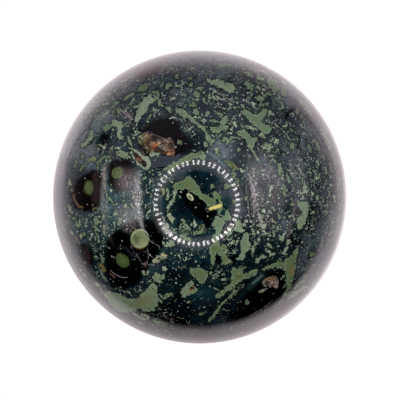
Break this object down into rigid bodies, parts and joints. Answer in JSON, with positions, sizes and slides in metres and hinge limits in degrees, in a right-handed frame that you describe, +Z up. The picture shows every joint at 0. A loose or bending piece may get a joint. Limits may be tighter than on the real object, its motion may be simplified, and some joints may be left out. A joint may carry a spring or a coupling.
{
  "type": "kambaba jasper sphere",
  "caption": "Polished sphere of dark green kambaba jasper with moss green orbs and patches and small open vugs, for display on its resting flat.",
  "frame": {"origin": "middle of the small flat that the sphere rests on, straight below the sphere's centre", "axes": "+Z up through the sphere's centre, the open vugs round the top; +Y away from a person who looks down on the sphere with the largest vug in the upper left; +X to the right"},
  "size_m": [0.06, 0.06, 0.0597],
  "materials": {
    "polished_jasper": "polished"
  },
  "bodies": {
    "root": {"jasper_sphere": "polished_jasper"}
  },
  "joints": []
}
